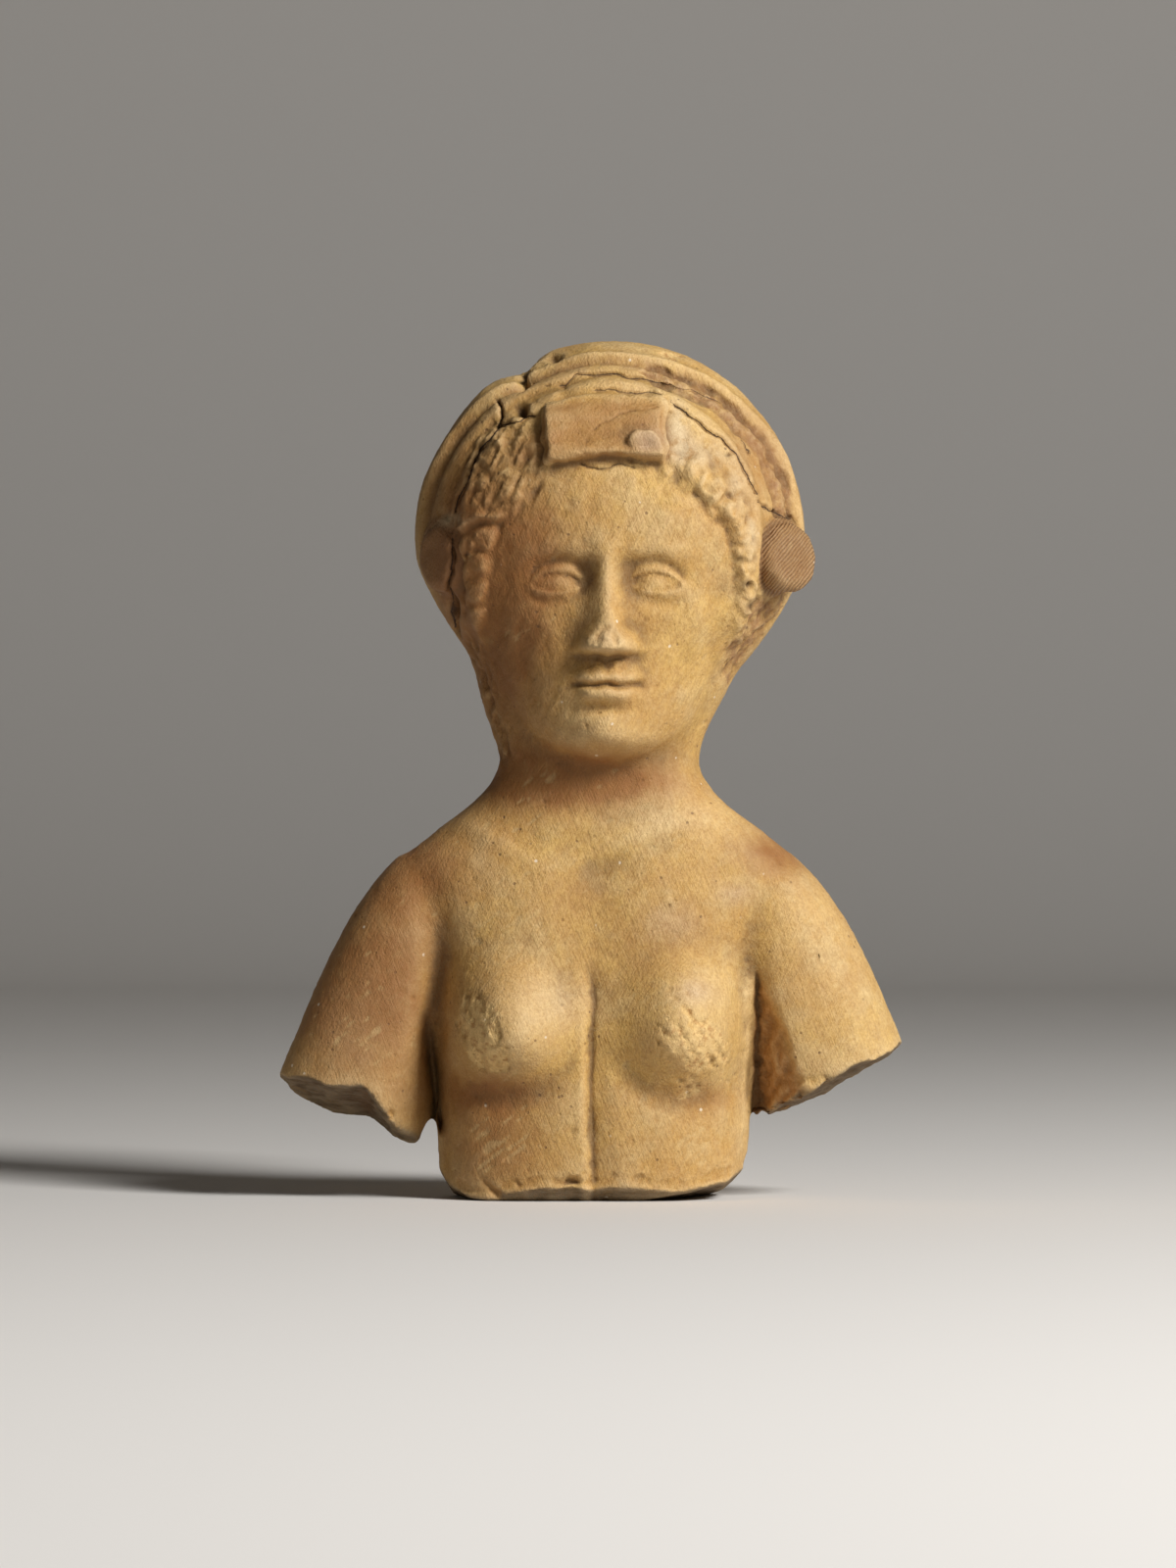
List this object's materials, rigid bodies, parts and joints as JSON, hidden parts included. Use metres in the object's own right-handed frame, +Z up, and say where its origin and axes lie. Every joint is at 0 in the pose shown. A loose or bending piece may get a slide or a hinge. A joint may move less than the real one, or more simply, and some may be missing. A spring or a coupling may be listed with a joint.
{
  "type": "terracotta bust",
  "caption": "Small hand-modelled terracotta bust of a woman in a round ribbed hood, with both arms broken short, standing on its flat underside.",
  "frame": {"origin": "middle of the flat underside", "axes": "+Z up through the head, the face looks along -Y, +X towards the arm on the viewer's right"},
  "size_m": [0.084, 0.0452, 0.1151],
  "materials": {
    "terracotta": "matt unglazed fired clay, worn and stained"
  },
  "bodies": {
    "root": {"bust": "terracotta"}
  },
  "joints": []
}
